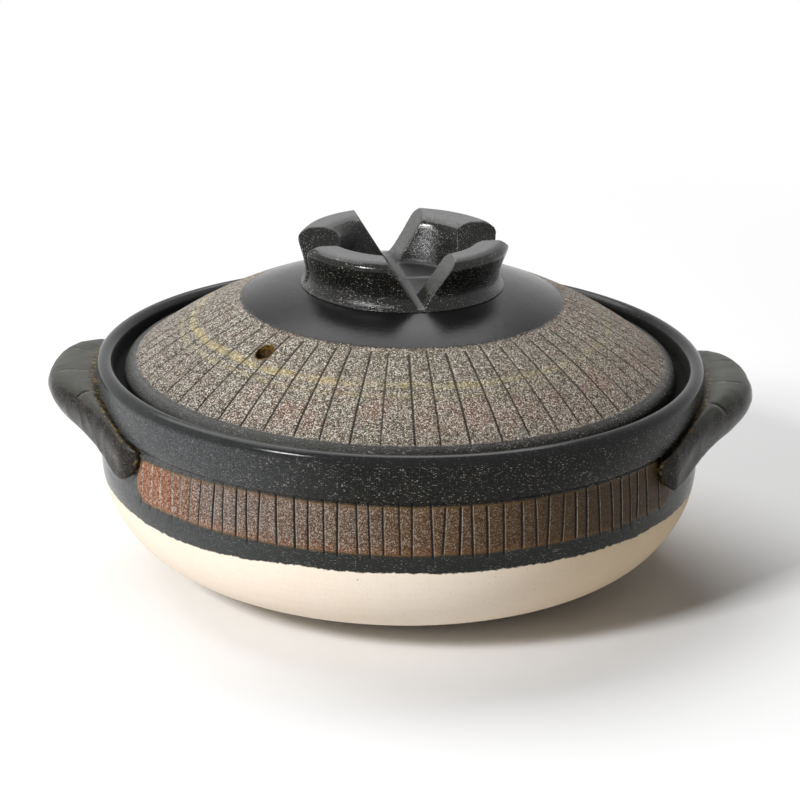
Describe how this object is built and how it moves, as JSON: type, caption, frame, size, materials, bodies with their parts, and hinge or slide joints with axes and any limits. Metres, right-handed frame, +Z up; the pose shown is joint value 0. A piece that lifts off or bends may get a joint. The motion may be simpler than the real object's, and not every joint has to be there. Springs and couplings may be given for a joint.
{
  "type": "donabe clay pot",
  "caption": "Round lidded clay cooking pot with a collared rim, two ear handles and a domed lid with a steam hole and a ring knob cut into petals.",
  "frame": {"origin": "on the ground at the bowl's axis, the middle of the bounding box's underside", "axes": "+Z up, +X through the right handle, the pictured front towards -Y"},
  "size_m": [0.3604, 0.3104, 0.1752],
  "materials": {
    "bowl_glaze": "near-black speckled glaze with a brown scored band, bare cream clay below",
    "handle_glaze": "near-black glaze worn to grey-olive on the crests",
    "lid_glaze": "sandy grey-brown speckled glaze with scored radial lines and a dark glossy cap",
    "knob_glaze": "near-black glossy glaze, grey-olive on the edges"
  },
  "bodies": {
    "pot": {"pot_bowl": "bowl_glaze", "left_handle": "handle_glaze", "right_handle": "handle_glaze"},
    "lid": {"lid_shell": "lid_glaze", "lid_knob": "knob_glaze"}
  },
  "joints": [
    {"name": "lid_lift", "type": "slide", "parent": "pot", "child": "lid", "axis": [0, 0, 1], "range_m": [0, 0.15]}
  ]
}
